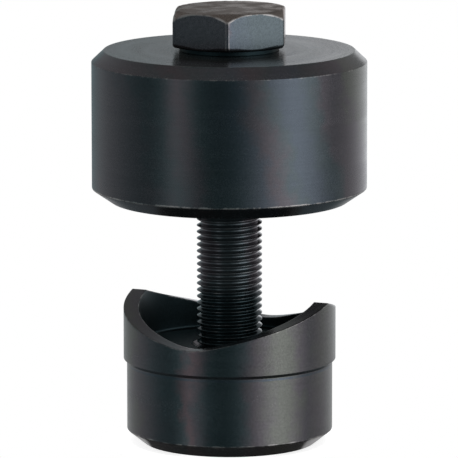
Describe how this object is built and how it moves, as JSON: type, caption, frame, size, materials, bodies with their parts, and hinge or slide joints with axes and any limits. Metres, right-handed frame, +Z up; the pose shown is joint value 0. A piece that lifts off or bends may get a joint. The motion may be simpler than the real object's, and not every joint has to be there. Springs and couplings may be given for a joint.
{
  "type": "knockout punch",
  "caption": "Round knockout punch for sheet metal: a cup-shaped punch with two cutting peaks, a matching die and a fine-thread hexagon draw bolt.",
  "frame": {"origin": "on the tool's axis, at the flat foot of the punch that the tool stands on", "axes": "+Z up along the draw bolt towards its hexagon head; the punch's two cutting peaks lie on a diameter turned -22.7 degrees from +X"},
  "size_m": [0.042, 0.042, 0.067],
  "materials": {
    "punch_steel": "satin black oxide over turned and ground steel",
    "die_steel": "satin black oxide over turned steel",
    "bolt_steel": "semi-gloss black oxide over forged and rolled steel"
  },
  "bodies": {
    "punch": {"punch": "punch_steel"},
    "die": {"die": "die_steel"},
    "draw_bolt": {"draw_bolt": "bolt_steel"}
  },
  "joints": [
    {"name": "die_travel", "type": "slide", "parent": "punch", "child": "die", "axis": [0, 0, 1], "range_m": [-0.029, 0.0065]},
    {"name": "bolt_turn", "type": "hinge", "parent": "die", "child": "draw_bolt", "pos_m": [0, 0, 0.0605], "axis": [0, 0, 1], "range_deg": [-10476, 2376]}
  ],
  "couplings": [
    {"joint": "bolt_turn", "follows": "die_travel", "rad_per_m": 6283.2}
  ]
}
